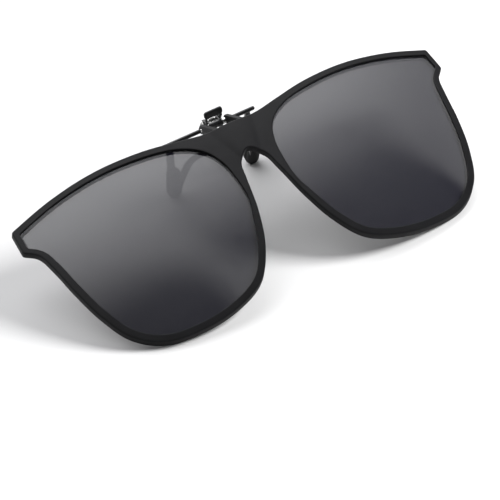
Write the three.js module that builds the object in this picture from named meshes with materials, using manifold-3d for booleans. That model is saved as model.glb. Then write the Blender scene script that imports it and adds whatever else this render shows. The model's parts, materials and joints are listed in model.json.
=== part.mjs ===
// Clip-on sunglasses with a flip-up hinge. Millimetres.
//
// Everything is drawn in the frame's own axes: +X across the face, +Y from the front of the lenses to the wearer,
// +Z up the lenses. The last section lays the finished glasses on a table, +Z up, on the rims and two clip tips.
import * as THREE from 'three';
import { ConvexGeometry } from 'three/addons/geometries/ConvexGeometry.js';
import { mergeVertices } from 'three/addons/utils/BufferGeometryUtils.js';
import Module from 'manifold-3d';

const wasm = await Module();
wasm.setup();

// ---- Driving dimensions

// Curve of the front: y = x^2 / 2R + wrapTightening x^4 + (z - faceFormLevel)^2 / 2R'
const wrapRadius = 233;
const wrapTightening = 6e-8;
const faceFormRadius = 159;
const faceFormLevel = -31.7;

// Rounded ridge on the bridge, between two creases that close in downwards
const ridgeHeight = 0.7;
const creaseHalfWidthLow = 3.9;
const creaseLevelLow = -16;
const creaseSpread = 0.31;

const frameThickness = 3.0;
const lipDepth = 1.1;
const rebateWidth = 0.8;
const lensThickness = 1.0;
const seatGap = 0.3;

// The slab that the front and lenses are cut from
const slabWidth = 156;
const slabHeight = 72;
const slabLevel = -30;
const coarseGrid = [30, 12];
const fineGrid = [60, 20];
const prismReach = 30;

// Flip hinge: the pin runs along X through two lugs on the bridge
const flipPivot = { y: 13.9, z: 2.9 };
const flipPinRadius = 0.55;
const flipPinHeadRadius = 1.0;
const flipPinHeadGap = 0.35;
const flipPinHeadLength = 0.45;
const lugRadius = 1.6;
const lugInner = 3.6;
const lugOuter = 5.0;
const lugFootOuter = 5.2;
const lugFoot = [[2.75, -4.6], [3.2, -6.2], [5.3, -5.0]];
const barrelRadius = 1.1;
const barrelHalfLength = 2.15;
const washerRadius = 0.95;
const washerSpan = [2.25, 3.5];
const runningClearance = 0.07;
const boreReach = 10;

// Jaw hinge: its own pin carries the torsion spring
const jawPivot = { y: 15.0, z: 5.5 };
const jawPinRadius = 0.5;
const jawPinHeadRadius = 0.8;
const jawPinSpan = 3.2;
const jawPinHeadLength = 0.25;
const earSpan = [1.5, 2.05];
const earRadius = 1.0;
const earFootRadius = 0.9;
const bracketPlateRadius = 0.4;
const bracketStandoff = 0.55;
const bracketKneeY = 17.2;
const bracketHeelY = 21.4;
const leverArmSpan = [2.2, 2.85];
const leverArmRadius = 1.1;

// Thumb lever, in front of the jaw pin
const tabTop = { y: 9.8, z: 5.15 };
const tabFoot = { y: 12.0, z: 4.45 };
const tabBandEnd = { y: 11.3, z: 4.67 };
const tabPlateRadius = 0.3;
const tabArmRadius = 0.45;
const padFit = 0.08;
const padHalfWidth = 3.15;
const padRadius = 0.62;
const padTop = { y: 9.5, z: 5.25 };
const padFoot = { y: 10.9, z: 4.8 };

// Jaws
const barCentre = { y: 21.3, z: 6.6 };
const barRadius = 0.68;
const barHalfLength = 16.5;
const barSleeveRadius = 1.15;
const legThickness = 1.2;
const legWidth = 2.4;
const upperLegRootWidth = 1.3;
const upperLegShoulderY = 25.5;
const legOffset = 13.9;
const legEnd = 40.0;
const upperLegEndLevel = 2.35;
const forkTilt = 0.06;
const forkLevel = -1.2;
const forkArmY = 20.8;
const forkKneeHalfWidth = 10.7;
const forkKneeReach = 4;
const forkKneeSpread = 0.7;
const forkTongueHalfWidth = 2.6;
const forkTongueLength = 2;
const rivetY = 19.9;
const rivetShankRadius = 0.6;
const rivetBoreClearance = 0.12;
const rivetHeads = { low: [-1.05, -0.75], high: [1.9, 2.2], radius: [0.95, 1.15] };

// Rubber tips: each pair closes to one rounded bullet
const tipRadius = 2.4;
const tipStart = 32;
const tipRoundStart = 40.7;
const splitLevel = 1.1;
const tipGap = 0.3;
const tipSkin = 0.7;
const tipSlotClearance = 0.15;
const tipSlotEnd = 0.2;
const tipArcSteps = 12;
const tipEndSteps = [0, 0.25, 0.5, 0.75, 0.94];
const footFlatDepth = 0.12;

// Lens plane's angle to the table, with the clip flipped up and its tips on the table
const restTilt = THREE.MathUtils.degToRad(27.55);

const roundSegments = 20;
const outlineSteps = 110;
const browSteps = 44;
const openingSteps = 90;

// ---- Solids and placing

function solid(geometry) {
  const plain = geometry.clone();
  plain.deleteAttribute('normal');
  plain.deleteAttribute('uv');
  const merged = mergeVertices(plain, 1e-4);
  const triVerts = new Uint32Array(merged.index.array);
  const vertProperties = new Float32Array(merged.attributes.position.array);
  return new wasm.Manifold(new wasm.Mesh({ numProp: 3, vertProperties, triVerts }));
}

function geometryOf(manifold) {
  const mesh = manifold.getMesh();
  const geometry = new THREE.BufferGeometry();
  geometry.setAttribute('position', new THREE.BufferAttribute(new Float32Array(mesh.vertProperties), 3));
  geometry.setIndex(new THREE.BufferAttribute(new Uint32Array(mesh.triVerts), 1));
  geometry.computeVertexNormals();
  return geometry;
}

function union(...parts) {
  return parts.reduce((whole, part) => whole.add(part));
}

// A cylinder along X between two X values
function rodX(radius, from, to, centre) {
  const geometry = new THREE.CylinderGeometry(radius, radius, to - from, roundSegments);
  geometry.rotateZ(-Math.PI / 2);
  geometry.translate((from + to) / 2, centre.y, centre.z);
  return solid(geometry);
}

// Points of a circle in the YZ plane, at one X
function circleX(centre, radius, x) {
  return Array.from({ length: roundSegments }, (_, i) => {
    const a = (i / roundSegments) * 2 * Math.PI;
    return new THREE.Vector3(x, centre.y + radius * Math.cos(a), centre.z + radius * Math.sin(a));
  });
}

// A link plate: the hull of round ends [centre, radius], between two X values
function linkPlate(ends, from, to) {
  const points = ends.flatMap(([centre, radius]) => [
    ...circleX(centre, radius, from),
    ...circleX(centre, radius, to),
  ]);
  return solid(new ConvexGeometry(points));
}

function mirrored(points) {
  return points.map(([x, z]) => [-x, z]);
}

function spline(points, samples) {
  const curve = new THREE.CatmullRomCurve3(
    points.map(([x, z]) => new THREE.Vector3(x, 0, z)),
    false,
    'centripetal',
  );
  return curve.getPoints(samples).map((p) => [p.x, p.z]);
}

// Moves a counter-clockwise closed loop of points outwards
function grow(loop, distance) {
  return loop.map(([x, z], i) => {
    const before = loop[(i + loop.length - 1) % loop.length];
    const after = loop[(i + 1) % loop.length];
    const a = new THREE.Vector2(x - before[0], z - before[1]).normalize();
    const b = new THREE.Vector2(after[0] - x, after[1] - z).normalize();
    const normal = new THREE.Vector2(a.y + b.y, -a.x - b.x).normalize();
    const miter = distance / Math.max(0.5, normal.dot(new THREE.Vector2(b.y, -b.x)));
    return [x + normal.x * miter, z + normal.y * miter];
  });
}

// A prism along Y with the section of a loop in the XZ plane
function prism(loop) {
  const shape = new THREE.Shape(loop.map(([x, z]) => new THREE.Vector2(x, z)));
  const geometry = new THREE.ExtrudeGeometry(shape, { depth: 2 * prismReach, bevelEnabled: false });
  geometry.rotateX(Math.PI / 2);
  geometry.translate(0, prismReach, 0);
  return solid(geometry);
}

// ---- The curved front

function lensSurface(x, z) {
  const wrap = x ** 2 / (2 * wrapRadius) + wrapTightening * x ** 4;
  return wrap + (z - faceFormLevel) ** 2 / (2 * faceFormRadius);
}

function bridgeRidge(x, z) {
  const crease = creaseHalfWidthLow + creaseSpread * (z - creaseLevelLow);
  return crease > 0 ? ridgeHeight * Math.max(0, 1 - (x / crease) ** 2) : 0;
}

// A slab that follows the curve of the front, between two depths behind it
function curvedSlab(from, to, [columns, rows], ridge = 0) {
  const slab = new THREE.BoxGeometry(slabWidth, to - from, slabHeight, columns, 1, rows);
  slab.translate(0, (from + to) / 2, slabLevel);
  const place = slab.attributes.position;
  for (let i = 0; i < place.count; i += 1) {
    const x = place.getX(i);
    const z = place.getZ(i);
    place.setY(i, place.getY(i) + lensSurface(x, z) - ridge * bridgeRidge(x, z));
  }
  return solid(slab);
}

const browHalf = [[9, -4.2], [18, -2.2], [29, 0.3], [44, 1.8], [59, 0.9], [73.5, -1.7]];
const lowerHalf = [
  [74.0, -10.3], [70.6, -14.2], [69, -21], [67.4, -31], [64.6, -42.5], [60, -52.7], [52, -59.5],
  [40.5, -61.9], [28, -61], [18, -56.8], [11.8, -48], [7.8, -36.5], [5.5, -25], [4, -19],
];
const outerLoop = [
  ...spline([...mirrored(lowerHalf), [0, -15.5], ...lowerHalf.toReversed()], outlineSteps),
  ...spline([...browHalf.toReversed(), [0, -4.4], ...mirrored(browHalf)], browSteps),
];

// The right lens opening, from the top of the wing along the brow and round by the nose
const openingLoop = [
  [71.8, -3.8], [58, -1.2], [44, -0.4], [31, -1.7], [19, -4.9], [12.4, -9.7], [9.2, -16.2], [8.2, -24],
  [8.4, -31.5], [10.2, -37.5], [13.9, -47.2], [19.6, -55.1], [28.7, -58.8], [40.4, -59.7], [50.9, -57.5],
  [58.2, -51.4], [62.5, -41.8], [65.2, -30.6], [66.8, -21.2], [68.8, -13.6], [72.2, -9.5],
];
const rightOpening = spline(openingLoop, openingSteps);
const leftOpening = mirrored(rightOpening).reverse();

function rebatePocket(opening) {
  const pastBack = frameThickness + 2;
  return curvedSlab(lipDepth, pastBack, coarseGrid).intersect(prism(grow(opening, rebateWidth)));
}

function lens(opening) {
  const front = lipDepth + seatGap;
  const edge = grow(opening, rebateWidth - seatGap);
  return curvedSlab(front, front + lensThickness, coarseGrid).intersect(prism(edge));
}

// A hinge lug grows up and back from the top of the bridge, with a bore for the pin
function hingeLug(side) {
  const foot = [lugInner, lugFootOuter].flatMap((x) =>
    lugFoot.map(([y, z]) => new THREE.Vector3(side * x, y, z)),
  );
  const eye = [lugInner, lugOuter].flatMap((x) => circleX(flipPivot, lugRadius, side * x));
  return solid(new ConvexGeometry([...eye, ...foot]));
}

function frontFrame() {
  const front = curvedSlab(0, frameThickness, fineGrid, 1).intersect(prism(outerLoop));
  const pinBore = rodX(flipPinRadius + runningClearance, -boreReach, boreReach, flipPivot);
  return union(front, hingeLug(1), hingeLug(-1))
    .subtract(prism(rightOpening))
    .subtract(prism(leftOpening))
    .subtract(rebatePocket(rightOpening))
    .subtract(rebatePocket(leftOpening))
    .subtract(pinBore);
}

// ---- Pins, washers and spring

function flipPin() {
  const headInner = lugOuter + flipPinHeadGap;
  const headOuter = headInner + flipPinHeadLength;
  const shank = rodX(flipPinRadius, -lugOuter, headOuter, flipPivot);
  return union(shank, rodX(flipPinHeadRadius, headInner, headOuter, flipPivot));
}

function washer(side) {
  const [from, to] = side > 0 ? washerSpan : [-washerSpan[1], -washerSpan[0]];
  const bore = rodX(flipPinRadius + runningClearance, -boreReach, boreReach, flipPivot);
  return rodX(washerRadius, from, to, flipPivot).subtract(bore);
}

function jawPin() {
  const headFrom = jawPinSpan - jawPinHeadLength;
  return union(
    rodX(jawPinRadius, -headFrom, headFrom, jawPivot),
    rodX(jawPinHeadRadius, headFrom, jawPinSpan, jawPivot),
    rodX(jawPinHeadRadius, -jawPinSpan, -headFrom, jawPivot),
  );
}

// A torsion spring: close turns round the jaw pin, one end laid on the bracket, the other forward under the tab
class SpringLine extends THREE.Curve {
  getPoint(t, target = new THREE.Vector3()) {
    const coilRadius = 0.85;
    const coilHalfLength = 1.05;
    const turns = 3.5;
    const endShare = 0.08;
    const endLength = 1.9;
    const u = THREE.MathUtils.clamp((t - endShare) / (1 - 2 * endShare), 0, 1);
    const angle = -Math.PI / 2 + u * turns * 2 * Math.PI;
    const straight = (Math.max(0, endShare - t) - Math.max(0, t - 1 + endShare)) / endShare;
    const y = coilRadius * Math.cos(angle) + Math.abs(straight) * endLength * Math.sign(straight);
    const z = coilRadius * Math.sin(angle);
    return target.set((2 * u - 1) * coilHalfLength, jawPivot.y + y, jawPivot.z + z);
  }
}

function jawSpring() {
  const wireRadius = 0.2;
  const section = new THREE.Shape().absarc(0, 0, wireRadius, 0, 2 * Math.PI);
  const settings = { steps: 84, curveSegments: 3, extrudePath: new SpringLine() };
  return solid(new THREE.ExtrudeGeometry(section, settings));
}

// ---- Fixed jaw

function forkHeight(y) {
  return forkLevel + forkTilt * (y - forkArmY);
}

// Stamped bracket: a barrel on the flip pin, and two ears that carry the jaw pin and stand on a base on the fork
function hingeBracket() {
  const base = forkHeight(forkArmY) + legThickness / 2 + bracketStandoff;
  const knee = { y: bracketKneeY, z: base };
  const heel = { y: bracketHeelY, z: base + forkTilt * (bracketHeelY - bracketKneeY) };
  const ears = [earSpan, [-earSpan[1], -earSpan[0]]].map(([from, to]) =>
    linkPlate([[flipPivot, earFootRadius], [jawPivot, earRadius], [knee, bracketPlateRadius]], from, to),
  );
  const basePlate = linkPlate(
    [[knee, bracketPlateRadius], [heel, bracketPlateRadius]],
    -forkTongueHalfWidth,
    forkTongueHalfWidth,
  );
  return union(rodX(barrelRadius, -barrelHalfLength, barrelHalfLength, flipPivot), basePlate, ...ears)
    .subtract(rodX(flipPinRadius + runningClearance, -boreReach, boreReach, flipPivot))
    .subtract(rodX(jawPinRadius + runningClearance, -boreReach, boreReach, jawPivot))
    .subtract(rivetBore());
}

function rivetBore() {
  const radius = rivetShankRadius + rivetBoreClearance;
  const bore = new THREE.CylinderGeometry(radius, radius, boreReach, roundSegments);
  bore.rotateX(Math.PI / 2);
  bore.translate(0, rivetY, 0);
  return solid(bore);
}

function bracketRivet() {
  const { low, high, radius: [small, large] } = rivetHeads;
  const shank = rivetShankRadius;
  const profile = [
    [0, low[0]], [small, low[0]], [large, low[1]], [shank, low[1]],
    [shank, high[0]], [large, high[0]], [small, high[1]], [0, high[1]],
  ];
  const rivet = new THREE.LatheGeometry(profile.map(([r, h]) => new THREE.Vector2(r, h)), roundSegments);
  rivet.rotateX(Math.PI / 2);
  rivet.translate(0, rivetY, forkHeight(rivetY));
  return solid(rivet);
}

// Flat fork: a cross arm with rounded knees and two prongs that spread a little towards their ends
function forkPlate() {
  const armEnd = new THREE.Vector2(forkKneeHalfWidth - forkKneeReach, forkArmY);
  const knee = new THREE.Vector2(forkKneeHalfWidth, forkArmY);
  const prongStart = new THREE.Vector2(forkKneeHalfWidth + forkKneeSpread, forkArmY + forkKneeReach);
  const prongEnd = new THREE.Vector2(legOffset, legEnd);
  const right = [...new THREE.QuadraticBezierCurve(armEnd, knee, prongStart).getPoints(8), prongEnd];
  const middle = [...right.toReversed().map((p) => new THREE.Vector2(-p.x, p.y)), ...right];
  const sides = [1, -1].map((side) =>
    middle.map((p, i) => {
      const before = middle[Math.max(i - 1, 0)];
      const after = middle[Math.min(i + 1, middle.length - 1)];
      const along = after.clone().sub(before).normalize();
      return new THREE.Vector2(p.x - along.y * side * legWidth / 2, p.y + along.x * side * legWidth / 2);
    }),
  );
  const armFront = forkArmY - legWidth / 2;
  const tongue = [
    [-forkTongueHalfWidth, armFront],
    [-forkTongueHalfWidth, armFront - forkTongueLength],
    [forkTongueHalfWidth, armFront - forkTongueLength],
    [forkTongueHalfWidth, armFront],
  ].map(([x, y]) => new THREE.Vector2(x, y));
  const half = sides[1].length / 2;
  const front = [...sides[1].slice(0, half), ...tongue, ...sides[1].slice(half)];
  const outline = new THREE.Shape([...front, ...sides[0].reverse()]);
  const plate = new THREE.ExtrudeGeometry(outline, { depth: legThickness, bevelEnabled: false });
  plate.translate(0, -forkArmY, -legThickness / 2);
  plate.rotateX(Math.atan(forkTilt));
  plate.translate(0, forkArmY, forkLevel);
  return solid(plate).subtract(rivetBore());
}

// ---- Moving jaw

function upperLegHeight(y) {
  const slope = (upperLegEndLevel - barCentre.z) / (legEnd - barCentre.y);
  return barCentre.z + slope * (y - barCentre.y);
}

function thumbLever() {
  const arms = [leverArmSpan, [-leverArmSpan[1], -leverArmSpan[0]]].flatMap(([from, to]) => [
    linkPlate([[tabTop, tabPlateRadius], [tabFoot, tabArmRadius]], from, to),
    linkPlate([[tabFoot, tabArmRadius], [jawPivot, leverArmRadius]], from, to),
    linkPlate([[jawPivot, leverArmRadius], [barCentre, barSleeveRadius]], from, to),
  ]);
  const bandEnds = [[tabTop, tabPlateRadius], [tabBandEnd, tabPlateRadius]];
  const band = linkPlate(bandEnds, -leverArmSpan[1], leverArmSpan[1]);
  const barTube = rodX(barSleeveRadius, -leverArmSpan[1], leverArmSpan[1], barCentre);
  return union(band, barTube, ...arms)
    .subtract(rodX(jawPinRadius + runningClearance, -boreReach, boreReach, jawPivot))
    .subtract(rodX(barRadius + runningClearance, -boreReach, boreReach, barCentre));
}

// Moulded pad pushed over the end of the tab
function thumbPad() {
  const slotEnds = [[tabTop, tabPlateRadius + padFit], [tabFoot, tabArmRadius + padFit]];
  const slotHalfWidth = leverArmSpan[1] + padFit;
  const pad = linkPlate([[padTop, padRadius], [padFoot, padRadius]], -padHalfWidth, padHalfWidth);
  const slot = linkPlate(slotEnds, -slotHalfWidth, slotHalfWidth);
  return pad.subtract(slot);
}

// Round bar with a flat leg welded under it near each end; each leg widens at its root
function jawBar() {
  const bar = new THREE.CapsuleGeometry(barRadius, 2 * (barHalfLength - barRadius), 4, roundSegments);
  bar.rotateZ(Math.PI / 2);
  bar.translate(0, barCentre.y, barCentre.z);
  const legs = [1, -1].map((side) => upperLeg(side, 0));
  return union(solid(bar), ...legs);
}

// A straight leg with a rectangular section, whose middle line runs between two points
function legBar(from, to, clearance, fromWidth = legWidth) {
  const thick = legThickness / 2 + clearance;
  const corners = [];
  for (const [end, width] of [[from, fromWidth], [to, legWidth]]) {
    const half = width / 2 + clearance;
    for (const a of [-half, half]) {
      for (const b of [-thick, thick]) {
        corners.push(new THREE.Vector3(end.x + a, end.y, end.z + b));
      }
    }
  }
  return solid(new ConvexGeometry(corners));
}

function upperLeg(side, clearance) {
  const [root, shoulder, end] = [barCentre.y, upperLegShoulderY, legEnd + clearance].map(
    (y) => new THREE.Vector3(side * legOffset, y, upperLegHeight(y)),
  );
  return union(legBar(root, shoulder, clearance, upperLegRootWidth), legBar(shoulder, end, clearance));
}

// ---- Rubber tips

// A tip is half a bullet: flat where the pair meets, round outside, closed at its end by a quarter of a ball
function tipBody(side, way, legHeight) {
  const flat = splitLevel + (way * tipGap) / 2;
  const points = [];
  const startDepth = Math.abs(legHeight(tipStart) - flat) + legThickness / 2 + tipSkin;
  const sections = [[tipStart, tipRadius, startDepth]];
  for (const u of tipEndSteps) {
    const a = (u * Math.PI) / 2;
    sections.push([tipRoundStart + tipRadius * Math.sin(a), tipRadius * Math.cos(a), tipRadius * Math.cos(a)]);
  }
  for (const [y, wide, deep] of sections) {
    for (let i = 0; i <= tipArcSteps; i += 1) {
      const a = (i / tipArcSteps) * Math.PI;
      points.push(new THREE.Vector3(side * legOffset + wide * Math.cos(a), y, flat + way * deep * Math.sin(a)));
    }
  }
  return solid(new ConvexGeometry(points));
}

// The plane of the table, as the side of a large slab, trims a small foot on each lower tip
function tableSlab() {
  const width = 60;
  const thickness = 20;
  const down = new THREE.Vector3(0, Math.cos(restTilt), -Math.sin(restTilt));
  const slab = new THREE.BoxGeometry(width, width, thickness);
  slab.rotateX(Math.PI / 2 - restTilt);
  const centre = new THREE.Vector3(0, tipRoundStart, splitLevel - tipGap / 2);
  centre.addScaledVector(down, tipRadius - footFlatDepth + thickness / 2);
  slab.translate(centre.x, centre.y, centre.z);
  return solid(slab);
}

// The prongs slant outwards, so the slot in a lower tip does too
function lowerTip(side) {
  const kneeX = forkKneeHalfWidth + forkKneeSpread;
  const slant = (legOffset - kneeX) / (legEnd - forkArmY - forkKneeReach);
  const [from, to] = [tipStart - tipSlotEnd, legEnd + tipSlotEnd].map(
    (y) => new THREE.Vector3(side * (legOffset + slant * (y - legEnd)), y, forkHeight(y)),
  );
  return tipBody(side, -1, forkHeight).subtract(legBar(from, to, tipSlotClearance)).subtract(tableSlab());
}

function upperTip(side) {
  return tipBody(side, 1, upperLegHeight).subtract(upperLeg(side, tipSlotClearance));
}

// ---- Assembly

const glasses = new THREE.Group();

function addPart(name, manifold, color, roughness, metalness, opacity = 1) {
  const transparent = opacity < 1;
  const material = new THREE.MeshStandardMaterial({ color, roughness, metalness, opacity, transparent });
  const mesh = new THREE.Mesh(geometryOf(manifold), material);
  mesh.name = name;
  glasses.add(mesh);
}

const blackPlastic = [0x3a3a3b, 0.5, 0];
const greyLens = [0x55545a, 0.08, 0, 0.8];
const brightSteel = [0xc9cacc, 0.25, 1];
const blackSteel = [0x1c1c1d, 0.35, 0.6];
const blackRubber = [0x171717, 0.75, 0];

addPart('front_frame', frontFrame(), ...blackPlastic);
addPart('lens_right', lens(rightOpening), ...greyLens);
addPart('lens_left', lens(leftOpening), ...greyLens);
addPart('flip_pin', flipPin(), ...brightSteel);
addPart('hinge_bracket', hingeBracket(), ...blackSteel);
addPart('bracket_rivet', bracketRivet(), ...blackSteel);
addPart('fork_plate', forkPlate(), ...blackSteel);
addPart('jaw_pin', jawPin(), ...brightSteel);
addPart('jaw_spring', jawSpring(), ...brightSteel);
addPart('thumb_lever', thumbLever(), ...blackSteel);
addPart('thumb_pad', thumbPad(), ...blackRubber);
addPart('jaw_bar', jawBar(), ...blackSteel);
for (const [word, side] of [['left', -1], ['right', 1]]) {
  addPart(`flip_washer_${word}`, washer(side), ...brightSteel);
  addPart(`lower_tip_${word}`, lowerTip(side), ...blackRubber);
  addPart(`upper_tip_${word}`, upperTip(side), ...blackRubber);
}

// Laid on the table: turned about X, then moved so that the box's bottom centre is the origin
glasses.rotation.x = -(Math.PI / 2 - restTilt);
glasses.updateMatrixWorld(true);
const box = new THREE.Box3().setFromObject(glasses, true);
const middle = box.getCenter(new THREE.Vector3());
glasses.position.set(-middle.x, -middle.y, -box.min.z);

export default glasses;
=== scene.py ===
"""Clip-on sunglasses with a flip-up hinge: the visual model, in metres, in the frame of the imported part."""
import json
import math

import bmesh
import bpy
import numpy as np
from mathutils import Matrix, Vector


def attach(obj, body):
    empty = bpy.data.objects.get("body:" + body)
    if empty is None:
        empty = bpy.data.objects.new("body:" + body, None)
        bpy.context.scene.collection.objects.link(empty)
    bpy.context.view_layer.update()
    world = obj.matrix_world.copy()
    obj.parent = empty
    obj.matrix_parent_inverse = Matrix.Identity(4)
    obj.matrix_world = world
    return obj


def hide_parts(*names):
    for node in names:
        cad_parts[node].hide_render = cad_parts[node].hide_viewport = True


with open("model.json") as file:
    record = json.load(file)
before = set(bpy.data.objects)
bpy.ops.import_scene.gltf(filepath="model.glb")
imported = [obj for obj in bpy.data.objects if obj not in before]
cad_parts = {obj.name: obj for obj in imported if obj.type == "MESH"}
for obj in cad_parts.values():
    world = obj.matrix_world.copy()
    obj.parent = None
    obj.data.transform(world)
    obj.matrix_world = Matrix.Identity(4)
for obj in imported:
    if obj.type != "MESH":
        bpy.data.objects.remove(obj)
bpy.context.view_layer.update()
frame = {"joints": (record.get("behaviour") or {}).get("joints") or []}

# ---- Camera, floor and light ---------------------------------------------------------------------
# The glasses lie face up on a pale sheet under one wide, soft light high behind them, and a softbox at the
# right front casts their shadow on the sheet. A long lens looks down at them from the front left.

scene = bpy.context.scene
scene.view_settings.view_transform = "Standard"

CAMERA_RIGHT = Vector((0.8703, -0.4650, -0.1619))
CAMERA_UP = Vector((0.3937, 0.4594, 0.7962))
CAMERA_PLACE = Vector((-0.3754, -0.9435, 0.7220))

camera_data = bpy.data.cameras.new("camera")
camera_data.lens = 290.6
camera_data.sensor_width = 36
camera_data.clip_start = 0.05
camera = bpy.data.objects.new("camera", camera_data)
scene.collection.objects.link(camera)
camera_right = CAMERA_RIGHT.normalized()
camera_up = (CAMERA_UP - CAMERA_UP.dot(camera_right) * camera_right).normalized()
camera.matrix_world = (
    Matrix.Translation(CAMERA_PLACE)
    @ Matrix((camera_right, camera_up, camera_right.cross(camera_up))).transposed().to_4x4()
)
scene.camera = camera


def linear(hex_colour, alpha=1.0):
    """An sRGB hex colour as the linear colour that nodes take."""
    channels = [int(hex_colour[i : i + 2], 16) / 255 for i in (1, 3, 5)]
    return tuple(c / 12.92 if c <= 0.04045 else ((c + 0.055) / 1.055) ** 2.4 for c in channels) + (alpha,)


def add(tree, kind, inputs=None, **settings):
    """Adds a node. Settings are its own properties; each input takes a value or another node's output."""
    node = tree.nodes.new("ShaderNode" + kind)
    for key, value in settings.items():
        setattr(node, key, value)
    for key, value in (inputs or {}).items():
        if isinstance(value, bpy.types.NodeSocket):
            tree.links.new(value, node.inputs[key])
        else:
            node.inputs[key].default_value = value
    return node


def material(name, colour, **sockets):
    """A new material with one Principled shader; sockets are the values that are the same all over."""
    made = bpy.data.materials.new(name)
    made.use_nodes = True
    shader = made.node_tree.nodes["Principled BSDF"]
    shader.inputs["Base Color"].default_value = linear(colour)
    for key, value in sockets.items():
        shader.inputs[key.replace("_", " ")].default_value = value
    return made, made.node_tree, shader


FLOOR_HALF, FLOOR_LEVEL = 2.5, -0.00002
floor_mesh = bpy.data.meshes.new("floor")
floor_mesh.from_pydata(
    [(x * FLOOR_HALF, y * FLOOR_HALF, FLOOR_LEVEL) for x, y in ((-1, -1), (1, -1), (1, 1), (-1, 1))],
    [],
    [(0, 1, 2, 3)],
)
floor = bpy.data.objects.new("floor", floor_mesh)
scene.collection.objects.link(floor)
floor_paper, tree, shader = material("matt_white_paper", "#acacac", Roughness=0.9)
floor_mesh.materials.append(floor_paper)

LAMP_FROM = Vector((0.66, -0.42, 0.62))
LAMP_DISTANCE = 0.9
lamp_data = bpy.data.lights.new("side_softbox", "AREA")
lamp_data.shape = "DISK"
lamp_data.size = 0.40
lamp_data.energy = 21
lamp = bpy.data.objects.new("side_softbox", lamp_data)
lamp.location = LAMP_FROM * LAMP_DISTANCE
lamp.rotation_euler = LAMP_FROM.to_track_quat("Z", "Y").to_euler()
lamp.visible_glossy = False
scene.collection.objects.link(lamp)

SKY_BASE, SKY_PEAK = 0.14, 4.2
SKY_EDGE, SKY_FULL = 0.55, 0.98
SKY_CENTRE = Vector((-0.05, 0.66, 0.75)).normalized()
world = bpy.data.worlds.new("soft_sky")
world.use_nodes = True
scene.world = world
tree = world.node_tree
way = add(tree, "TexCoord").outputs["Generated"]
towards = add(tree, "VectorMath", {0: way, 1: SKY_CENTRE}, operation="DOT_PRODUCT")
glow = add(
    tree,
    "MapRange",
    {
        "Value": towards.outputs["Value"],
        "From Min": SKY_EDGE,
        "From Max": SKY_FULL,
        "To Min": SKY_BASE,
        "To Max": SKY_PEAK,
    },
    interpolation_type="SMOOTHSTEP",
)
tree.nodes["Background"].inputs["Color"].default_value = linear("#fdfdff")
tree.links.new(glow.outputs["Result"], tree.nodes["Background"].inputs["Strength"])

# ---- Front frame ---------------------------------------------------------------------------------
# One injection-moulded front in satin black nylon, 3 mm thick. A lip 1.1 mm deep keeps each lens in its
# rebate, and two lugs grow from the back of the bridge to carry the flip pin.

LIE_ANGLE = math.radians(90 - 27.55)
FLIP_PIVOT = (13.9, 2.9)
MM_PER_METRE = 1000
WELD_DISTANCE = 2e-7
flip_joint = next(j for j in frame["joints"] if j["name"] == "flip_hinge")["pos_m"]


def placed(points):
    """Millimetres in the glasses' own axes (x across, y to the wearer, z up the lenses) to metres in the
    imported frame: a turn about X by the angle they lie at, then the move that brings the flip pin onto its
    joint. Nothing goes below the floor."""
    points = np.asarray(points, float)
    turn = np.array(
        [
            [1, 0, 0],
            [0, math.cos(LIE_ANGLE), math.sin(LIE_ANGLE)],
            [0, -math.sin(LIE_ANGLE), math.cos(LIE_ANGLE)],
        ]
    )
    pivot = turn @ np.array([0, *FLIP_PIVOT])
    laid = (points @ turn.T - pivot) / MM_PER_METRE + np.array([0, flip_joint[1], flip_joint[2]])
    laid[:, 2] = np.maximum(laid[:, 2], 0)
    return laid


def piece(name, surfaces, finish, body, nodes, sharp=40):
    """One closed piece from surfaces (points in own mm, faces), welded where they meet, faces outwards.
    Edges sharper than the angle in degrees stay sharp in the shading."""
    points, faces = [], []
    for part_points, part_faces in surfaces:
        start = sum(len(p) for p in points)
        points.append(np.asarray(part_points, float).reshape(-1, 3))
        faces += [tuple(start + i for i in f) for f in part_faces]
    mesh = bpy.data.meshes.new(name)
    mesh.from_pydata(placed(np.vstack(points)).tolist(), [], faces)
    build = bmesh.new()
    build.from_mesh(mesh)
    bmesh.ops.remove_doubles(build, verts=build.verts, dist=WELD_DISTANCE)
    bmesh.ops.recalc_face_normals(build, faces=build.faces)
    build.to_mesh(mesh)
    build.free()
    mesh.polygons.foreach_set("use_smooth", np.ones(len(mesh.polygons), bool))
    mesh.set_sharp_from_angle(angle=math.radians(sharp))
    mesh.materials.append(finish)
    made = bpy.data.objects.new(name, mesh)
    scene.collection.objects.link(made)
    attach(made, body)
    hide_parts(*nodes)


def quads(rows, columns, round_rows=False, round_columns=False):
    """Faces of a grid of points, row by row. A grid that is round in a direction closes on itself there."""
    r = np.arange(rows if round_rows else rows - 1)[:, None]
    c = np.arange(columns if round_columns else columns - 1)[None, :]
    next_r, next_c = (r + 1) % rows, (c + 1) % columns
    corners = [r * columns + c, next_r * columns + c, next_r * columns + next_c, r * columns + next_c]
    return np.stack(corners, axis=-1).reshape(-1, 4)


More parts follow.
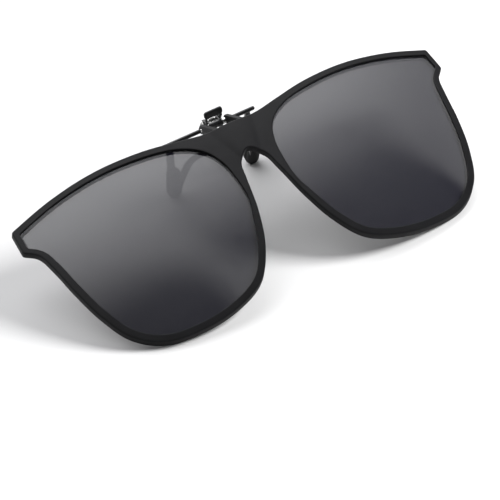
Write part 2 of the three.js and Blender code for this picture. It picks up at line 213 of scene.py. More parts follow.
def spline(points, per_span=60):
    """Centripetal Catmull-Rom curve through the points: on each span a cubic whose end slopes come from the
    neighbours, weighed by the square roots of their distances."""
    p = np.asarray(points, float)
    p = np.vstack([2 * p[0] - p[1], p, 2 * p[-1] - p[-2]])
    gap = np.linalg.norm(np.diff(p, axis=0), axis=1)[:, None] ** 0.5
    a, b, c, d = p[:-3], p[1:-2], p[2:-1], p[3:]
    before, here, after = gap[:-2], gap[1:-1], gap[2:]
    leave = here * ((b - a) / before - (c - a) / (before + here) + (c - b) / here)
    reach = here * ((c - b) / here - (d - b) / (here + after) + (d - c) / after)
    b, c, leave, reach = (v[:, None, :] for v in (b, c, leave, reach))
    t = np.linspace(0, 1, per_span, endpoint=False)[None, :, None]
    cubic = 2 * b - 2 * c + leave + reach
    square = 3 * c - 3 * b - 2 * leave - reach
    curve = cubic * t**3 + square * t**2 + leave * t + b
    return np.vstack([curve.reshape(-1, 2), p[-2]])


CORNER_REACH = 0.7


def even(loop, count):
    """A closed line walked at even distances. A moving average over the corner reach, to both sides, rounds
    its corners."""
    closed = np.vstack([loop, loop[:1]])
    walk = np.concatenate([[0], np.cumsum(np.linalg.norm(np.diff(closed, axis=0), axis=1))])
    at = np.linspace(0, walk[-1], count, endpoint=False)
    line = np.stack([np.interp(at, walk, closed[:, i]) for i in (0, 1)], axis=1)
    half = max(1, round(CORNER_REACH / (walk[-1] / count)))
    return sum(np.roll(line, k, axis=0) for k in range(-half, half + 1)) / (2 * half + 1)


def outward(loop):
    """Unit normals that point out of a counter-clockwise closed line."""
    along = np.roll(loop, -1, axis=0) - np.roll(loop, 1, axis=0)
    along /= np.linalg.norm(along, axis=1)[:, None]
    return np.stack([along[:, 1], -along[:, 0]], axis=1)


WRAP_RADIUS, WRAP_QUARTIC = 233, 6e-8
LEAN_RADIUS, LEAN_LEVEL = 159, -31.7
CREASE_HALF, CREASE_SPREAD, CREASE_LEVEL = 3.9, 0.31, -16
CREASE_LEAST = 0.1
RIDGE_HEIGHT = 0.7


def front_depth(x, z, ridge=1.0):
    """How far back the front's surface lies: it wraps round the face as a parabola with a small fourth-power
    term, curves back above and below its middle, and rises in a rounded ridge on the bridge, between two
    creases that close in downwards."""
    wrap = x**2 / (2 * WRAP_RADIUS) + WRAP_QUARTIC * x**4 + (z - LEAN_LEVEL) ** 2 / (2 * LEAN_RADIUS)
    crease = np.maximum(CREASE_HALF + CREASE_SPREAD * (z - CREASE_LEVEL), CREASE_LEAST)
    return wrap - ridge * RIDGE_HEIGHT * np.maximum(0, 1 - (x / crease) ** 2)


# Points on the outline's right half and round the right opening, x and z
BROW_HALF = [[9, -4.2], [18, -2.2], [29, 0.3], [44, 1.8], [59, 0.9], [73.5, -1.7]]
LOWER_HALF = [
    [74.0, -10.3], [70.6, -14.2], [69, -21], [67.4, -31], [64.6, -42.5], [60, -52.7], [52, -59.5],
    [40.5, -61.9], [28, -61], [18, -56.8], [11.8, -48], [7.8, -36.5], [5.5, -25], [4, -19],
]
OPENING = [
    [71.8, -3.8], [58, -1.2], [44, -0.4], [31, -1.7], [19, -4.9], [12.4, -9.7], [9.2, -16.2], [8.2, -24],
    [8.4, -31.5], [10.2, -37.5], [13.9, -47.2], [19.6, -55.1], [28.7, -58.8], [40.4, -59.7], [50.9, -57.5],
    [58.2, -51.4], [62.5, -41.8], [65.2, -30.6], [66.8, -21.2], [68.8, -13.6], [72.2, -9.5],
]
NOSE_TOP, BRIDGE_TOP = (0, -15.5), (0, -4.4)
FULL_COUNT = 4000
mirror_x = np.array([-1, 1])
lower = np.array(LOWER_HALF)
brow = np.array(BROW_HALF)
lower_line = spline(np.vstack([lower * mirror_x, NOSE_TOP, lower[::-1]]))
brow_line = spline(np.vstack([brow[::-1], BRIDGE_TOP, brow * mirror_x]))
ring = np.vstack([lower_line, brow_line])
nose_index = np.argmin(np.linalg.norm(ring - NOSE_TOP, axis=1))
outer_full = even(np.roll(ring, -nose_index, axis=0), FULL_COUNT)
outer_out = outward(outer_full)
opening_full = even(spline(OPENING), FULL_COUNT)
opening_out = outward(opening_full)
# Where the rim's two edges face each other: a place on the outline, then one on the opening
MATCHES = [
    [NOSE_TOP, (9.2, -16.2)], [(5.5, -25), (8.2, -24)], [(11.8, -48), (13.9, -47.2)],
    [(28, -61), (28.7, -58.8)], [(52, -59.5), (50.9, -57.5)], [(64.6, -42.5), (62.5, -41.8)],
    [(69, -21), (66.8, -21.2)], [(70.6, -14.2), (68.8, -13.6)], [(74, -10.3), (72.2, -9.5)],
    [(73.5, -1.7), (71.8, -3.8)], [(59, 0.9), (58, -1.2)], [(29, 0.3), (31, -1.7)],
    [BRIDGE_TOP, (12.4, -9.7)],
]
STATION, FEWEST_STATIONS = 0.4, 6
CENTRE_COUNT = 500


def outer_half(inset):
    """The right half of the outline moved in, closed by the glasses' middle line."""
    half = (outer_full - inset * outer_out)[: FULL_COUNT // 2 + 1]
    half[[0, -1], 0] = 0
    middle = np.linspace(half[-1], half[0], CENTRE_COUNT + 2)[1:-1]
    return np.vstack([half, middle])


def at_steps(loop, steps):
    """Points of a closed line at fractional indices."""
    low = np.floor(steps).astype(int)
    share = (steps - low)[:, None]
    return loop[low % len(loop)] * (1 - share) + loop[(low + 1) % len(loop)] * share


def nearest(loop, place):
    """The index of the point of a line that lies nearest to a place."""
    return int(np.argmin(np.linalg.norm(loop - place, axis=1)))


outline = outer_half(0)
outer_keys = np.array([nearest(outline, a) for a, _ in MATCHES] + [len(outline)])
outer_keys[0] = 0
outer_keys[-2] = FULL_COUNT // 2
opening_keys = np.array([nearest(opening_full, b) for _, b in MATCHES])
opening_keys = np.where(opening_keys < opening_keys[0], opening_keys + FULL_COUNT, opening_keys)
opening_keys = np.append(opening_keys, opening_keys[0] + FULL_COUNT)
spans = [
    max(FEWEST_STATIONS, round(np.linalg.norm(np.diff(outline[a : b + 1], axis=0), axis=1).sum() / STATION))
    for a, b in zip(outer_keys[:-1], outer_keys[1:])
]


def spread(keys):
    """Fractional indices from key to key, evenly spread in each span."""
    return np.concatenate([np.linspace(a, b, n, endpoint=False) for a, b, n in zip(keys, keys[1:], spans)])


outer_steps = spread(outer_keys)
opening_steps = spread(opening_keys)


def rim_line(source, inset, depth):
    """One line round the half: source is the outline moved in or the opening moved out, at a depth behind
    the front's surface."""
    if source == "outline":
        flat = at_steps(outer_half(inset), outer_steps)
    else:
        flat = at_steps(opening_full + inset * opening_out, opening_steps)
    return np.stack([flat[:, 0], front_depth(*flat.T) + depth, flat[:, 1]], axis=1)


def sheet_lines(inner, outer, depth, count):
    """Lines from an inner line to an outer one, on the front's surface moved back by a depth."""
    share = np.linspace(0, 1, count)[:, None, None]
    flat = inner[None, :, [0, 2]] * (1 - share) + outer[None, :, [0, 2]] * share
    x, z = flat[..., 0], flat[..., 1]
    return list(np.stack([x, front_depth(x, z) + depth, z], axis=-1))


def front_half():
    """A closed profile at each station: the front sheet, the rounded outer edge and wall, the back sheet,
    the rebate's wall and step, and the lip with its rounded edge. Round edges are quarter circles: the sine
    of the angle draws the line in, the cosine sets its depth."""
    outer_round, back_round, lip_round = 0.4, 0.5, 0.22
    thickness, lip, rebate = 3.0, 1.1, 0.8
    back_bevel, lip_bevel = 0.1, 0.05
    front_count, back_count = 18, 14
    bend = np.linspace(0, np.pi / 2, 5)
    front_inner, front_outer = rim_line("opening", lip_round, 0), rim_line("outline", outer_round, 0)
    lines = sheet_lines(front_inner, front_outer, 0, front_count)
    wall_from = len(lines) - 1
    for a in bend[1:]:
        lines.append(rim_line("outline", outer_round * (1 - math.sin(a)), outer_round * (1 - math.cos(a))))
    for a in bend[::-1][:-1]:
        depth = thickness - back_round * (1 - math.cos(a))
        lines.append(rim_line("outline", back_round * (1 - math.sin(a)), depth))
    wall_to = len(lines)
    back_inner = rim_line("opening", rebate + back_bevel, thickness)
    lines += sheet_lines(rim_line("outline", back_round, thickness), back_inner, thickness, back_count)
    lines.append(rim_line("opening", rebate, thickness - back_bevel))
    lines.append(rim_line("opening", rebate, lip))
    lines.append(rim_line("opening", lip_bevel, lip))
    lines.append(rim_line("opening", 0, lip - lip_bevel))
    for a in bend[::-1][:-1]:
        lines.append(rim_line("opening", lip_round * (1 - math.sin(a)), lip_round * (1 - math.cos(a))))
    points = np.stack(lines, axis=1)
    stations, profile = points.shape[:2]
    faces = quads(stations, profile, True, True)
    # The outer wall is left out along the middle line, where the two halves are welded
    station = faces[:, 0] // profile
    line = np.repeat(np.arange(profile)[None, :], stations, axis=0).reshape(-1)
    middle_from = stations - spans[-1]
    on_middle = (station >= middle_from) & (line >= wall_from) & (line < wall_to)
    return points.reshape(-1, 3), faces[~on_middle]


def plate(ends, edge, sides=48, steps=3):
    """A flat part with round ends and rounded edges. Ends are rows of y, z, radius, from x, to x. In each
    direction round the part its outline takes the end that reaches furthest. Both faces are drawn in by the
    edge radius."""
    y, z, radius, start_x, stop_x = np.asarray(ends, float).T
    off_axis = 0.01
    turn = np.linspace(0, 2 * np.pi, sides, endpoint=False) + off_axis
    cos, sin = np.cos(turn), np.sin(turn)
    pick = np.argmax(cos[:, None] * y + sin[:, None] * z + radius, axis=1)
    bend = np.linspace(0, np.pi / 2, steps + 1)
    inset, sink = edge * (1 - np.sin(bend)), edge * (1 - np.cos(bend))
    inset_all = np.concatenate([inset, inset[::-1]])[:, None]
    x = np.concatenate([start_x[pick] + sink[:, None], (stop_x[pick] - sink[:, None])[::-1]])
    reach = np.maximum(radius[pick] - inset_all, 0)
    points = np.stack([x, y[pick] + reach * cos, z[pick] + reach * sin], axis=-1)
    rows = len(points)
    faces = quads(rows, sides, False, True).tolist()
    faces += [tuple(range(sides)), tuple(range((rows - 1) * sides, rows * sides))]
    return points.reshape(-1, 3), faces


def lug(side):
    """A lug: the hull of the eye round the flip pin and its wide foot on the bridge."""
    inner, outer, foot_outer = 3.6, 5.0, 5.2
    eye_radius, foot_radius = 1.6, 0.35
    foot = [(3.0, -4.7), (3.4, -6.1), (5.1, -5.1)]
    ends = [[*FLIP_PIVOT, eye_radius, inner, outer]] + [[*p, foot_radius, inner, foot_outer] for p in foot]
    points, faces = plate(ends, edge=0.3, sides=64, steps=4)
    return points * [side, 1, 1], faces


# Satin black nylon, from a spark-eroded mould: a fine even grain and very slight flow marks
nylon, tree, shader = material(
    "satin_moulded_black_nylon", "#0f0f10", Roughness=0.55, Specular_IOR_Level=0.12
)
place = add(tree, "TexCoord").outputs["Object"]
grain = add(tree, "TexNoise", {"Vector": place, "Scale": 4200, "Detail": 3, "Roughness": 0.6})
flow = add(tree, "TexNoise", {"Vector": place, "Scale": 130, "Detail": 4, "Distortion": 0.8})
tint = add(
    tree,
    "MapRange",
    {"Value": flow.outputs["Fac"], "From Min": 0.3, "From Max": 0.7, "To Min": 0.0, "To Max": 1.0},
)
colour = add(
    tree,
    "Mix",
    {"Factor": tint.outputs["Result"], 6: linear("#0d0d0e"), 7: linear("#111112")},
    data_type="RGBA",
)
tree.links.new(colour.outputs[2], shader.inputs["Base Color"])
sheen = add(
    tree,
    "MapRange",
    {"Value": grain.outputs["Fac"], "From Min": 0.3, "From Max": 0.7, "To Min": 0.5, "To Max": 0.6},
)
tree.links.new(sheen.outputs["Result"], shader.inputs["Roughness"])
bump = add(tree, "Bump", {"Height": grain.outputs["Fac"], "Strength": 0.25, "Distance": 0.00003})
tree.links.new(bump.outputs["Normal"], shader.inputs["Normal"])

half_points, half_faces = front_half()
front_surfaces = [
    (half_points, half_faces.tolist()),
    (half_points * [-1, 1, 1], half_faces[:, ::-1].tolist()),
    lug(1),
    lug(-1),
]
piece("front_moulding", front_surfaces, nylon, "front", ["front_frame"])

# ---- Lenses --------------------------------------------------------------------------------------
# Two cast sheets of smoke-grey polarised plastic, 1 mm thick, bent to the front's curve and snapped into
# the rebates behind the lip. Their edges are polished with a small chamfer.

LENS_SIDES, LENS_RINGS, LENS_CROWDING = 360, 30, 0.8
LENS_CENTRE = np.array([39.0, -30.0])
LENS_DEPTH, LENS_THICKNESS, LENS_CHAMFER, LENS_OVERLAP = 1.4, 1.0, 0.12, 0.5


def lens_sheet(side):
    """Rings from the middle of the lens to its edge on the front face, over the chamfered edge, and back in
    on the rear face. A power below one packs the rings a little closer at the edge."""
    steps = np.linspace(0, FULL_COUNT, LENS_SIDES, endpoint=False)
    edge = at_steps(opening_full + LENS_OVERLAP * opening_out, steps)
    inner_edge = at_steps(opening_full + (LENS_OVERLAP - LENS_CHAMFER) * opening_out, steps)
    share = np.linspace(0, 1, LENS_RINGS) ** LENS_CROWDING
    back_depth = LENS_DEPTH + LENS_THICKNESS
    flats = [LENS_CENTRE + s * (inner_edge - LENS_CENTRE) for s in share]
    rings = [(f, LENS_DEPTH) for f in flats]
    rings += [(edge, LENS_DEPTH + LENS_CHAMFER), (edge, back_depth - LENS_CHAMFER)]
    rings += [(f, back_depth) for f in flats[::-1]]
    points = np.stack(
        [np.stack([f[:, 0], front_depth(*f.T, ridge=0) + depth, f[:, 1]], axis=1) for f, depth in rings]
    )
    return points.reshape(-1, 3) * [side, 1, 1], quads(len(rings), LENS_SIDES, False, True).tolist()


tac, tree, shader = material(
    "cast_smoke_grey_polarised_sheet", "#121219", Roughness=0.06, IOR=1.586, Alpha=0.72
)
place = add(tree, "TexCoord").outputs["Object"]
haze = add(tree, "TexNoise", {"Vector": place, "Scale": 60, "Detail": 2})
polish = add(
    tree,
    "MapRange",
    {"Value": haze.outputs["Fac"], "From Min": 0.3, "From Max": 0.7, "To Min": 0.05, "To Max": 0.075},
)
tree.links.new(polish.outputs["Result"], shader.inputs["Roughness"])
for word, side in (("left", -1), ("right", 1)):
    piece(f"lens_{word}_sheet", [lens_sheet(side)], tac, "front", [f"lens_{word}"])

# ---- Pins, washers and spring --------------------------------------------------------------------
# Turned and headed pins in nickel-plated steel: the flip pin through the lugs and barrel, with a washer at
# each end of the barrel, and the jaw pin that carries a torsion spring wound from wire.

JAW_PIVOT = (15.0, 5.5)


def disc(pivot, radius, from_x, to_x, edge=0.08, steps=2):
    """A round bar along X with rounded ends."""
    return plate([[*pivot, radius, from_x, to_x]], edge, sides=40, steps=steps)


nickel, tree, shader = material("turned_nickel_plated_steel", "#d2d2d0", Metallic=1.0, Roughness=0.22)
place = add(tree, "TexCoord").outputs["Object"]
turned = add(tree, "Mapping", {"Vector": place, "Scale": (14000, 900, 900)})
lines = add(tree, "TexNoise", {"Vector": turned.outputs["Vector"], "Scale": 1, "Detail": 2})
rough = add(
    tree,
    "MapRange",
    {"Value": lines.outputs["Fac"], "From Min": 0.3, "From Max": 0.7, "To Min": 0.16, "To Max": 0.3},
)
tree.links.new(rough.outputs["Result"], shader.inputs["Roughness"])
bump = add(tree, "Bump", {"Height": lines.outputs["Fac"], "Strength": 0.3, "Distance": 0.00001})
tree.links.new(bump.outputs["Normal"], shader.inputs["Normal"])

flip_pin = [
    disc(FLIP_PIVOT, radius=0.55, from_x=-5.12, to_x=5.5, edge=0.12),
    disc(FLIP_PIVOT, radius=1.0, from_x=5.35, to_x=5.8, edge=0.2, steps=3),
]
piece("flip_pin_steel", flip_pin, nickel, "front", ["flip_pin"])
jaw_pin = [
    disc(JAW_PIVOT, radius=0.5, from_x=-3.0, to_x=3.0),
    disc(JAW_PIVOT, radius=0.8, from_x=2.95, to_x=3.2, edge=0.12, steps=3),
    disc(JAW_PIVOT, radius=0.8, from_x=-3.2, to_x=-2.95, edge=0.12, steps=3),
]
piece("jaw_pin_steel", jaw_pin, nickel, "fixed_jaw", ["jaw_pin"])


def washer(side):
    """A ring round the flip pin: both faces, the outer wall between bevelled edges, and the bore."""
    sides, outer, bore, low, high, edge = 40, 0.95, 0.62, 2.25, 3.5, 0.12
    radii = np.array([bore, outer - edge, outer, outer, outer - edge, bore])[:, None]
    across = np.array([low, low, low + edge, high - edge, high, high])[:, None]
    turn = np.linspace(0, 2 * np.pi, sides, endpoint=False)
    y = FLIP_PIVOT[0] + radii * np.cos(turn)
    z = FLIP_PIVOT[1] + radii * np.sin(turn)
    points = np.stack([np.broadcast_to(across, y.shape), y, z], axis=-1)
    return points.reshape(-1, 3) * [side, 1, 1], quads(len(radii), sides, True, True).tolist()


for word, side in (("left", -1), ("right", 1)):
    ring_name = f"flip_washer_{word}"
    piece(ring_name + "_ring", [washer(side)], nickel, "fixed_jaw", [ring_name])


def sweep(path, section, up=(0, 0, 1), widen=1.0):
    """Carries a section (side, height) along a path of points, square to it, and closes both ends. widen is
    one number, or one for each point, that the section's side is multiplied by."""
    path = np.asarray(path, float)
    along = np.gradient(path, axis=0)
    along /= np.linalg.norm(along, axis=1)[:, None]
    side = np.cross(along, up)
    side /= np.linalg.norm(side, axis=1)[:, None]
    height = np.cross(side, along)
    section = np.asarray(section)
    side = side * np.broadcast_to(widen, len(path))[:, None]
    points = path[:, None] + section[:, 0, None] * side[:, None] + section[:, 1, None] * height[:, None]
    rows, columns = points.shape[:2]
    faces = quads(rows, columns, False, True).tolist()
    faces += [tuple(range(columns)), tuple(range((rows - 1) * columns, rows * columns))]
    return points.reshape(-1, 3), faces


def spring_path():
    """Straight end, a helix of three and a half turns round the jaw pin, straight end, as one line."""
    coil, half, turns, straight = 0.85, 1.05, 3.5, 1.9
    coil_count, end_count = 150, 10
    u = np.linspace(0, 1, coil_count)
    angle = -np.pi / 2 + u * turns * 2 * np.pi
    coil_points = np.stack(
        [(2 * u - 1) * half, JAW_PIVOT[0] + coil * np.cos(angle), JAW_PIVOT[1] + coil * np.sin(angle)], axis=1
    )
    reach = np.linspace(1, 0, end_count, endpoint=False)[:, None] * straight
    first = coil_points[:1] + reach * [0, 1, 0]
    last = coil_points[-1:] + reach[::-1] * [0, -1, 0]
    return np.vstack([first, coil_points, last])


WIRE_RADIUS, WIRE_SIDES = 0.19, 12
# Nearly along the coil, and never quite along the wire, so that the section always has a side
COIL_UP = (1, 0.02, 0.013)
wire_turn = np.linspace(0, 2 * np.pi, WIRE_SIDES, endpoint=False)
wire = WIRE_RADIUS * np.stack([np.cos(wire_turn), np.sin(wire_turn)], axis=1)
spring = sweep(spring_path(), wire, COIL_UP)
piece("jaw_spring_wire", [spring], nickel, "fixed_jaw", ["jaw_spring"])

# ---- Bracket, fork and rivet ---------------------------------------------------------------------
# Stamped steel parts of the fixed jaw, tumbled to soften their edges and coated black in a dip: the bracket
# with its barrel and two ears, and the fork with its two prongs, held together by one rivet.

FORK_ARM_Y = 20.8
FORK_LEVEL = -1.2
FORK_TILT = 0.06
LEG_WIDTH, LEG_THICKNESS, LEG_OFFSET, LEG_END_Y = 2.4, 1.2, 13.9, 40.0
BRACKET_STANDOFF = 0.55
FORK_TONGUE_WIDTH = 5.2

coated, tree, shader = material("dip_coated_black_steel", "#0d0d0e", Roughness=0.28)
place = add(tree, "TexCoord").outputs["Object"]
peel = add(tree, "TexNoise", {"Vector": place, "Scale": 1500, "Detail": 2, "Roughness": 0.5})
dust = add(tree, "TexNoise", {"Vector": place, "Scale": 9000, "Detail": 2})
bump = add(tree, "Bump", {"Height": peel.outputs["Fac"], "Strength": 0.35, "Distance": 0.00006})
tree.links.new(bump.outputs["Normal"], shader.inputs["Normal"])
rough = add(
    tree,
    "MapRange",
    {"Value": dust.outputs["Fac"], "From Min": 0.3, "From Max": 0.7, "To Min": 0.22, "To Max": 0.36},
)
tree.links.new(rough.outputs["Result"], shader.inputs["Roughness"])


def fork_height(y):
    """The level of the fork's middle, which rises a little to its tips."""
    return FORK_LEVEL + FORK_TILT * (y - FORK_ARM_Y)


def bracket():
    """The barrel, the base plate that stands clear of the fork, and an ear at each side: the hull of the
    barrel, the eye of the jaw pin and the front edge of the base."""
    base = fork_height(FORK_ARM_Y) + LEG_THICKNESS / 2 + BRACKET_STANDOFF
    knee, heel = (17.2, base), (21.4, base + FORK_TILT * 4)
    ear, barrel, base_half = (1.5, 2.05), 2.15, FORK_TONGUE_WIDTH / 2
    barrel_radius, barrel_eye, jaw_eye, sheet_radius = 1.1, 0.9, 1.0, 0.4
    base_ends = [[*p, sheet_radius, -base_half, base_half] for p in (knee, heel)]
    surfaces = [
        plate([[*FLIP_PIVOT, barrel_radius, -barrel, barrel]], edge=0.1, sides=48, steps=2),
        plate(base_ends, edge=0.12),
    ]
    for x in (ear, (-ear[1], -ear[0])):
        ear_ends = [[*FLIP_PIVOT, barrel_eye, *x], [*JAW_PIVOT, jaw_eye, *x], [*knee, sheet_radius, *x]]
        surfaces.append(plate(ear_ends, edge=0.1))
    return surfaces


piece("hinge_bracket_stamping", bracket(), coated, "fixed_jaw", ["hinge_bracket"])


def rounded_section(width, thickness, edge, steps=4):
    """A rectangle with rounded corners, as points round it."""
    corners = [(1, 1, 0), (-1, 1, np.pi / 2), (-1, -1, np.pi), (1, -1, 1.5 * np.pi)]
    right, up, start = np.array(corners).T[:, :, None]
    angle = start + np.linspace(0, np.pi / 2, steps)
    x = right * (width / 2 - edge) + edge * np.cos(angle)
    y = up * (thickness / 2 - edge) + edge * np.sin(angle)
    return np.stack([x.reshape(-1), y.reshape(-1)], axis=1)


def fork():
    """The middle line of one prong: half the cross arm, a rounded knee as a quadratic Bezier, and the prong
    that spreads to its end. The other side mirrors it, and a tongue in the middle takes the rivet."""
    knee_x, knee_reach, knee_spread, tongue_length, tongue_sink = 10.7, 4, 0.7, 2, 0.02
    bend_count, prong_count = 24, 14
    before = np.array([knee_x - knee_reach, FORK_ARM_Y])
    corner = np.array([knee_x, FORK_ARM_Y])
    after = np.array([knee_x + knee_spread, FORK_ARM_Y + knee_reach])
    t = np.linspace(0, 1, bend_count)[:, None]
    bend = (1 - t) ** 2 * before + 2 * t * (1 - t) * corner + t**2 * after
    prong = np.linspace(bend[-1], [LEG_OFFSET, LEG_END_Y], prong_count)[1:]
    half = np.vstack([bend, prong])
    line = np.vstack([half[::-1] * mirror_x, half])
    path = np.stack([line[:, 0], line[:, 1], fork_height(line[:, 1])], axis=1)
    tongue_y = np.array([FORK_ARM_Y - LEG_WIDTH / 2 - tongue_length, FORK_ARM_Y])
    tongue = np.stack([[0, 0], tongue_y, fork_height(tongue_y)], axis=1)
    return [
        sweep(path, rounded_section(LEG_WIDTH, LEG_THICKNESS, edge=0.25)),
        sweep(tongue, rounded_section(FORK_TONGUE_WIDTH, LEG_THICKNESS - tongue_sink, edge=0.2)),
    ]


piece("fork_plate_stamping", fork(), coated, "fixed_jaw", ["fork_plate"])


def rivet():
    """A rivet turned about its own axis: a factory head below, the shank, and a set head above. The profile
    is rows of radius and height over the fork's middle."""
    profile = np.array([
        [0, -1.05], [0.7, -1.03], [0.98, -0.95], [1.14, -0.8], [1.1, -0.72], [0.6, -0.7],
        [0.6, 1.85], [1.05, 1.88], [1.08, 1.98], [0.9, 2.12], [0.55, 2.19], [0, 2.2],
    ])
    sides, rivet_y = 40, 19.9
    turn = np.linspace(0, 2 * np.pi, sides, endpoint=False)
    radius, height = profile.T[:, :, None]
    x = radius * np.cos(turn)
    y = rivet_y + radius * np.sin(turn)
    z = np.broadcast_to(fork_height(rivet_y) + height, x.shape)
    return np.stack([x, y, z], axis=-1).reshape(-1, 3), quads(len(profile), sides, False, True).tolist()


piece("bracket_rivet_set", [rivet()], coated, "fixed_jaw", ["bracket_rivet"])

# ---- Thumb lever and jaw bar ---------------------------------------------------------------------
# The moving jaw: a folded steel lever whose two arms turn on the jaw pin, joined by a band at the thumb end
# and by the tube round the bar at the other. The round bar has a flat leg welded under it near each end.
# All of it has the same black dip coat as the fork.

TAB_TOP, TAB_FOOT, TAB_BAND_END = (9.8, 5.15), (12.0, 4.45), (11.3, 4.67)
BAR_CENTRE = (21.3, 6.6)
UPPER_SHOULDER_Y, UPPER_ROOT_WIDTH, UPPER_END_LEVEL = 25.5, 1.3, 2.35


def lever():
    """The band at the thumb end, the tube round the bar, and at each side an arm of three straight links
    with round ends."""
    arm_inner, arm_outer = 2.2, 2.85
    band, tab_foot, eye, sleeve = 0.3, 0.45, 1.1, 1.15
    band_ends = [[*p, band, -arm_outer, arm_outer] for p in (TAB_TOP, TAB_BAND_END)]
    surfaces = [
        plate(band_ends, edge=0.1),
        plate([[*BAR_CENTRE, sleeve, -arm_outer, arm_outer]], edge=0.15),
    ]
    joints = [(*TAB_TOP, band), (*TAB_FOOT, tab_foot), (*JAW_PIVOT, eye), (*BAR_CENTRE, sleeve)]
    for x in ((arm_inner, arm_outer), (-arm_outer, -arm_inner)):
        for a, b in zip(joints, joints[1:]):
            surfaces.append(plate([[*a, *x], [*b, *x]], edge=0.12))
    return surfaces


piece("thumb_lever_folding", lever(), coated, "moving_jaw", ["thumb_lever"])


def upper_leg_height(y):
    """The level of an upper leg's middle, on a straight line from the bar down to the leg's end."""
    fall = (UPPER_END_LEVEL - BAR_CENTRE[1]) / (LEG_END_Y - BAR_CENTRE[0])
    return BAR_CENTRE[1] + fall * (y - BAR_CENTRE[0])


def bar():
    """The round bar with nearly half-ball ends, and two legs, each narrow at its root up to a shoulder."""
    bar_radius, bar_half, bar_round = 0.68, 16.5, 0.66
    surfaces = [plate([[*BAR_CENTRE, bar_radius, -bar_half, bar_half]], bar_round, sides=32, steps=6)]
    straight_y, root_count, straight_count = 28, 4, 5
    root = np.linspace(BAR_CENTRE[0], UPPER_SHOULDER_Y, root_count)
    y = np.concatenate([root, np.linspace(straight_y, LEG_END_Y, straight_count)])
    widen = np.interp(y, [BAR_CENTRE[0], UPPER_SHOULDER_Y], [UPPER_ROOT_WIDTH / LEG_WIDTH, 1])
    section = rounded_section(LEG_WIDTH, LEG_THICKNESS, edge=0.25)
    for side in (-1, 1):
        path = np.stack([np.full(len(y), side * LEG_OFFSET), y, upper_leg_height(y)], axis=1)
        surfaces.append(sweep(path, section, widen=widen))
    return surfaces


piece("jaw_bar_welded", bar(), coated, "moving_jaw", ["jaw_bar"])

# ---- Thumb pad -----------------------------------------------------------------------------------
# A moulded black cap of soft vinyl, pushed over the band of the lever.
# It is rounded all over so that it doesn't bite the thumb.

cap, tree, shader = material("moulded_black_vinyl_cap", "#080808", Roughness=0.45, Specular_IOR_Level=0.3)
place = add(tree, "TexCoord").outputs["Object"]
grain = add(tree, "TexNoise", {"Vector": place, "Scale": 5000, "Detail": 2})
bump = add(tree, "Bump", {"Height": grain.outputs["Fac"], "Strength": 0.2, "Distance": 0.00003})
tree.links.new(bump.outputs["Normal"], shader.inputs["Normal"])


def pad():
    """A pillow: in each slice across X the section is the hull of two circles. Towards both ends the circles
    close in on each other, for rounded corners, and then shrink, for a rounded edge, both as a quarter
    ellipse."""
    sides, slices = 48, 41
    half, corner, edge = 3.15, 1.1, 0.5
    top, foot, radius = np.array([9.5, 5.25]), np.array([10.9, 4.8]), 0.62
    close_share, shrink = 0.9, 0.45
    middle, arm = (top + foot) / 2, (top - foot) / 2
    turn = np.linspace(0, 2 * np.pi, sides, endpoint=False)
    way = np.stack([np.cos(turn), np.sin(turn)], axis=1)
    x = half * np.sin(np.linspace(-np.pi / 2, np.pi / 2, slices))[:, None, None]
    into = np.clip((np.abs(x) - half + corner) / corner, 0, 1)
    near = np.clip((np.abs(x) - half + edge) / edge, 0, 1)
    reach = arm * (1 - close_share * (1 - np.sqrt(1 - into**2)))
    size = radius - shrink * (1 - np.sqrt(1 - near**2))
    outline = np.where((way @ arm)[:, None] > 0, middle + reach, middle - reach) + size * way
    points = np.concatenate([np.broadcast_to(x, (slices, sides, 1)), outline], axis=2)
    faces = quads(slices, sides, False, True).tolist()
    faces += [tuple(range(sides)), tuple(range((slices - 1) * sides, slices * sides))]
    return points.reshape(-1, 3), faces


piece("thumb_pad_cap", [pad()], cap, "moving_jaw", ["thumb_pad"])

# ---- Rubber tips ---------------------------------------------------------------------------------
# Four soft rubber sleeves, moulded and pulled over the legs' ends. Each pair closes to one rounded bullet
# that holds the wearer's lens without scratching it.

rubber, tree, shader = material("moulded_black_rubber", "#0b0b0b", Roughness=0.7, Specular_IOR_Level=0.3)
place = add(tree, "TexCoord").outputs["Object"]
skin = add(tree, "TexNoise", {"Vector": place, "Scale": 3200, "Detail": 4, "Roughness": 0.65})
bloom = add(tree, "TexNoise", {"Vector": place, "Scale": 400, "Detail": 3})
colour = add(
    tree,
    "Mix",
    {"Factor": bloom.outputs["Fac"], 6: linear("#090909"), 7: linear("#0f0f0f")},
    data_type="RGBA",
)
tree.links.new(colour.outputs[2], shader.inputs["Base Color"])
bump = add(tree, "Bump", {"Height": skin.outputs["Fac"], "Strength": 0.15, "Distance": 0.00003})
tree.links.new(bump.outputs["Normal"], shader.inputs["Normal"])


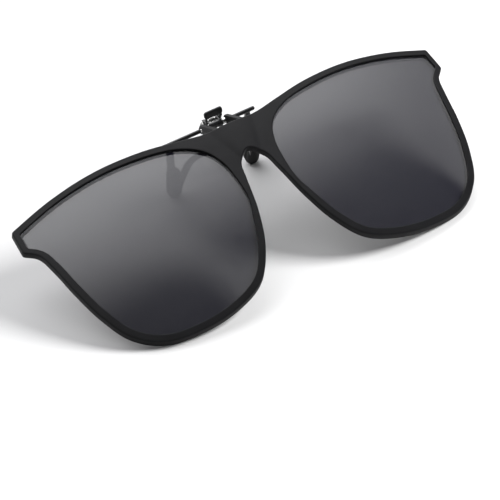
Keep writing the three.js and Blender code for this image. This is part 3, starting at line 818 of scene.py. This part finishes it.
def tip(side, way, leg_height):
    """Half a bullet as rings along Y: an arc outside and a flat inside with softened corners, closed by a
    quarter of a ball at the far end and a rolled edge at the near one. Near the corners the flat lifts in a
    straight slope, and both sides stop short of the full width."""
    radius, start, round_start, split, gap = 2.385, 32.0, 40.7, 1.1, 0.3
    skin, lift_height, lift_from, flat_width, arc_corner = 0.7, 0.3, 0.88, 0.94, 0.97
    rolled_step, rolled_widths = 0.1, [0.88, 0.96]
    sides, body_count, bend_count = 56, 12, 10
    flat = split + way * gap / 2
    near = abs(leg_height(start) - flat) + LEG_THICKNESS / 2 + skin
    body_y = np.linspace(start, round_start, body_count)
    bend = np.linspace(0, np.pi / 2, bend_count)
    ys = np.concatenate([[start, start + rolled_step], body_y[1:], round_start + radius * np.sin(bend[1:])])
    wide = np.concatenate([rolled_widths, np.ones(body_count - 1), np.cos(bend[1:])]) * radius
    depth = np.interp(ys, [start, round_start], [near, radius]) * wide / radius
    turn = np.linspace(0, 2 * np.pi, sides, endpoint=False)
    across = np.cos(turn)
    flat_side = np.sin(turn) <= 0
    flat_across = np.sign(across) * np.minimum(np.abs(across), flat_width)
    arc_across = np.where(np.abs(across) > arc_corner, across * flat_width, across)
    lift = np.maximum(0, np.abs(across) - lift_from) / (1 - lift_from) * lift_height / radius
    rise = np.maximum(np.sin(turn), 0)
    x = side * LEG_OFFSET + np.where(flat_side, flat_across, arc_across) * wide[:, None]
    height = np.where(flat_side, lift * wide[:, None], rise * depth[:, None])
    y = np.broadcast_to(ys[:, None], x.shape)
    points = np.stack([x, y, flat + way * np.maximum(height, 0)], axis=-1)
    return points.reshape(-1, 3), quads(len(ys), sides, False, True).tolist() + [tuple(range(sides))]


TIP_SHARP = 55
for word, side in (("left", -1), ("right", 1)):
    lower_name, upper_name = f"lower_tip_{word}", f"upper_tip_{word}"
    lower_tip, upper_tip = tip(side, -1, fork_height), tip(side, 1, upper_leg_height)
    piece(lower_name + "_sleeve", [lower_tip], rubber, "fixed_jaw", [lower_name], TIP_SHARP)
    piece(upper_name + "_sleeve", [upper_tip], rubber, "moving_jaw", [upper_name], TIP_SHARP)
